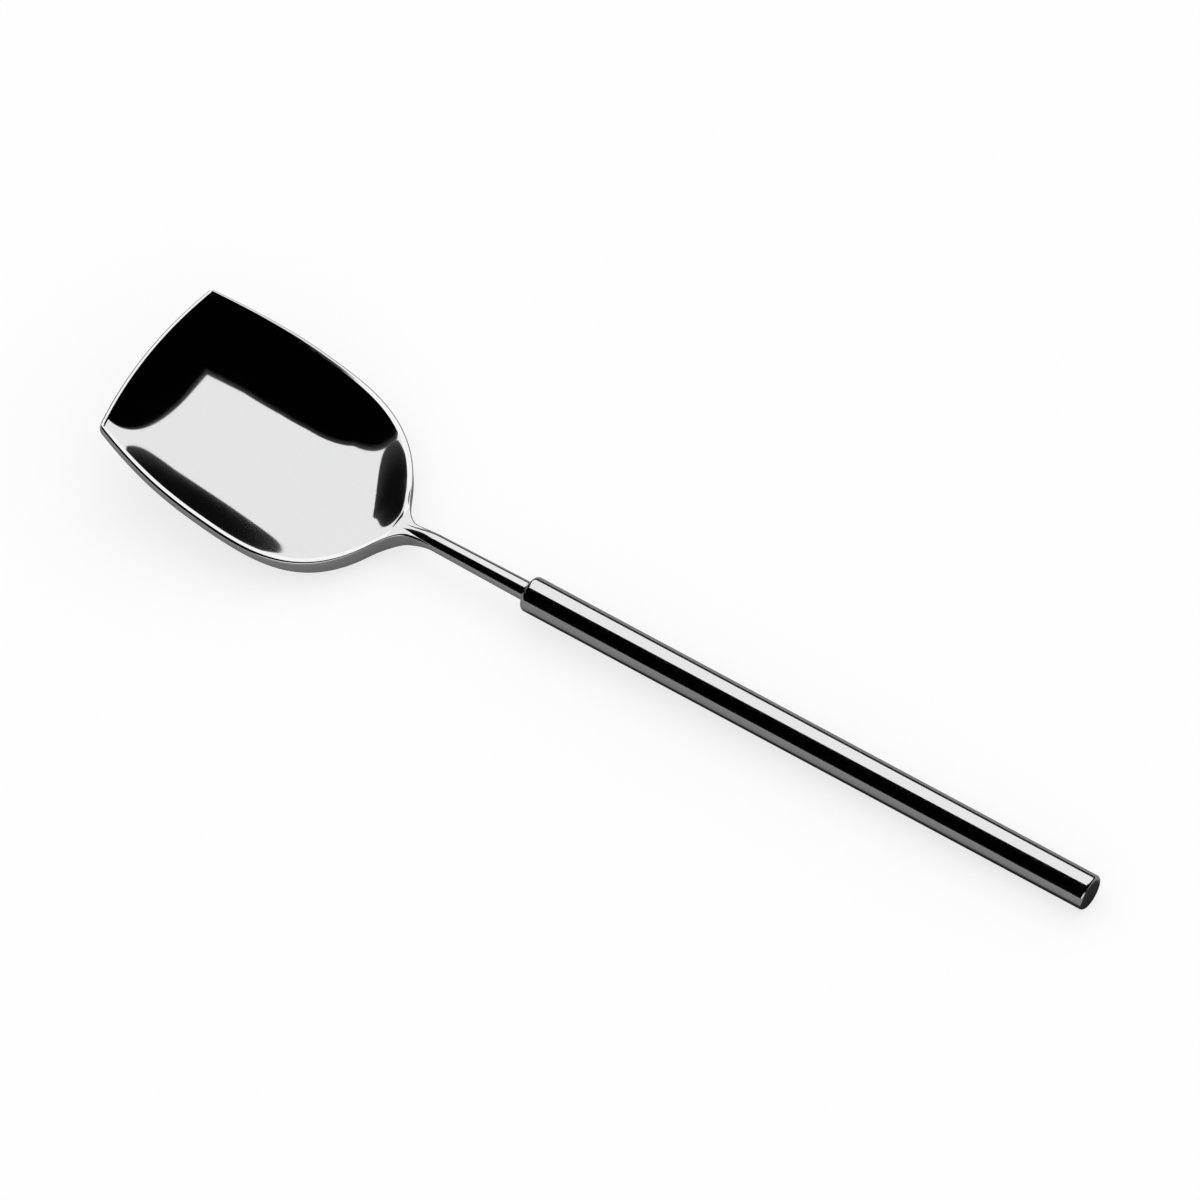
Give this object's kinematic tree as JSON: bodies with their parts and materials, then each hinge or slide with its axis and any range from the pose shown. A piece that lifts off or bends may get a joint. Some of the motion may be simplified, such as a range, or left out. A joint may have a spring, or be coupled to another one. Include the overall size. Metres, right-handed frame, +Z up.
{
  "type": "sugar spoon",
  "caption": "Slim sugar spoon with a square-ended scoop bowl, a thin round neck and a straight round rod handle, polished steel.",
  "frame": {"origin": "middle of the footprint box, on the table the spoon rests on", "axes": "+X from the bowl to the handle's free end, +Z up"},
  "size_m": [0.1328, 0.0288, 0.0114],
  "materials": {
    "bowl_steel": "mirror-polished stainless steel with faint polishing lines",
    "handle_steel": "polished stainless steel rod with faint lengthwise grinding lines",
    "braze": "silver hard solder, cleaned and left dull"
  },
  "bodies": {
    "root": {"bowl_and_neck": "bowl_steel", "handle_rod": "handle_steel", "tang_braze": "braze"}
  },
  "joints": []
}
